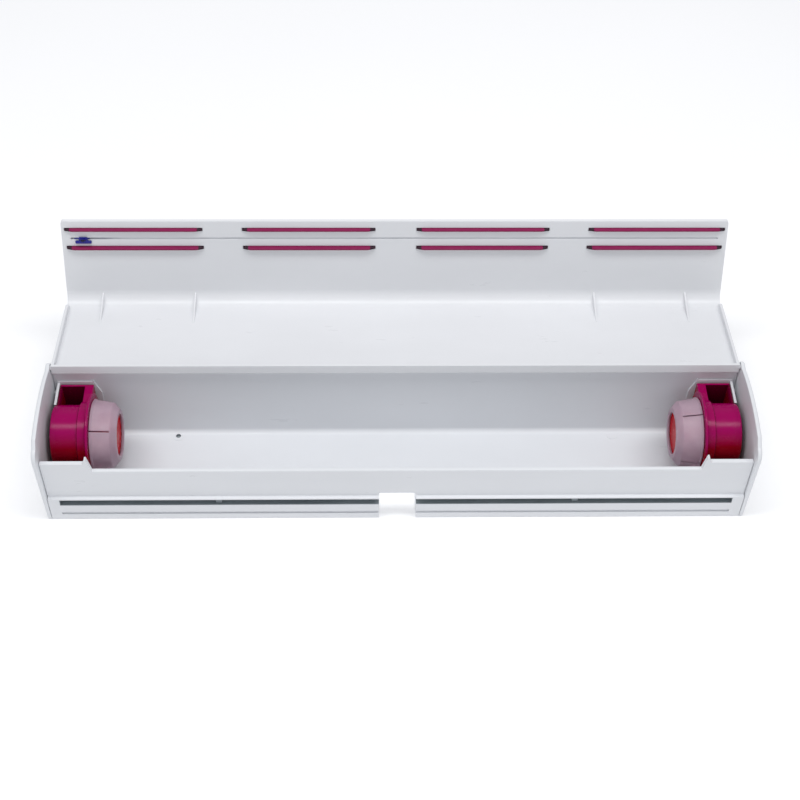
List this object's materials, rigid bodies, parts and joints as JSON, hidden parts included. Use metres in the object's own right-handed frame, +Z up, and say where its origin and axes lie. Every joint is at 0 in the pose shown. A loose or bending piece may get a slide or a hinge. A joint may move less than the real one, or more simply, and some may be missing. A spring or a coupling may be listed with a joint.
{
  "type": "cling film dispenser",
  "caption": "Long open box for a roll of film with a hinged lid thrown back, a slide cutter, soft grip strips and spinning roll holders at both ends.",
  "frame": {"origin": "middle of the box's underside", "axes": "+X along the box to the right-hand end, +Y to the back where the lid hinges, +Z up"},
  "size_m": [0.355, 0.1291, 0.093],
  "materials": {
    "body_plastic": "white, satin moulded",
    "holder_plastic": "magenta, glossy moulded",
    "grip_rubber": "magenta, soft matte",
    "sleeve_plastic": "frosted, lets light through",
    "slider_plastic": "dark blue, moulded",
    "steel": "bright steel"
  },
  "bodies": {
    "base": {"base_trough": "body_plastic", "left_end_cap": "body_plastic", "right_end_cap": "body_plastic"},
    "lid": {"lid_shell": "body_plastic", "grip_strip_lower_1": "grip_rubber", "grip_strip_lower_2": "grip_rubber", "grip_strip_lower_3": "grip_rubber", "grip_strip_lower_4": "grip_rubber", "grip_strip_upper_1": "grip_rubber", "grip_strip_upper_2": "grip_rubber", "grip_strip_upper_3": "grip_rubber", "grip_strip_upper_4": "grip_rubber"},
    "cutter": {"slider_knob": "slider_plastic", "slider_clip": "slider_plastic", "cutter_blade": "steel"},
    "left_holder": {"left_holder_housing": "holder_plastic"},
    "left_wheel": {"left_holder_wheel": "holder_plastic", "left_core_sleeve": "sleeve_plastic", "left_retaining_washer": "steel", "left_retaining_screw": "steel"},
    "right_holder": {"right_holder_housing": "holder_plastic"},
    "right_wheel": {"right_holder_wheel": "holder_plastic", "right_core_sleeve": "sleeve_plastic", "right_retaining_washer": "steel", "right_retaining_screw": "steel"}
  },
  "joints": [
    {"name": "lid_hinge", "type": "hinge", "parent": "base", "child": "lid", "pos_m": [0, 0.0276, 0.0522], "axis": [1, 0, 0], "range_deg": [0, 188]},
    {"name": "cutter_slide", "type": "slide", "parent": "lid", "child": "cutter", "axis": [1, 0, 0], "range_m": [0, 0.3215]},
    {"name": "left_holder_shift", "type": "slide", "parent": "base", "child": "left_holder", "axis": [1, 0, 0], "range_m": [0, 0.06]},
    {"name": "right_holder_shift", "type": "slide", "parent": "base", "child": "right_holder", "axis": [-1, 0, 0], "range_m": [0, 0.06]},
    {"name": "left_wheel_spin", "type": "hinge", "parent": "left_holder", "child": "left_wheel", "pos_m": [-0.1547, 0.0024, 0.0293], "axis": [1, 0, 0], "continuous": true},
    {"name": "right_wheel_spin", "type": "hinge", "parent": "right_holder", "child": "right_wheel", "pos_m": [0.1547, 0.0024, 0.0293], "axis": [1, 0, 0], "continuous": true}
  ]
}
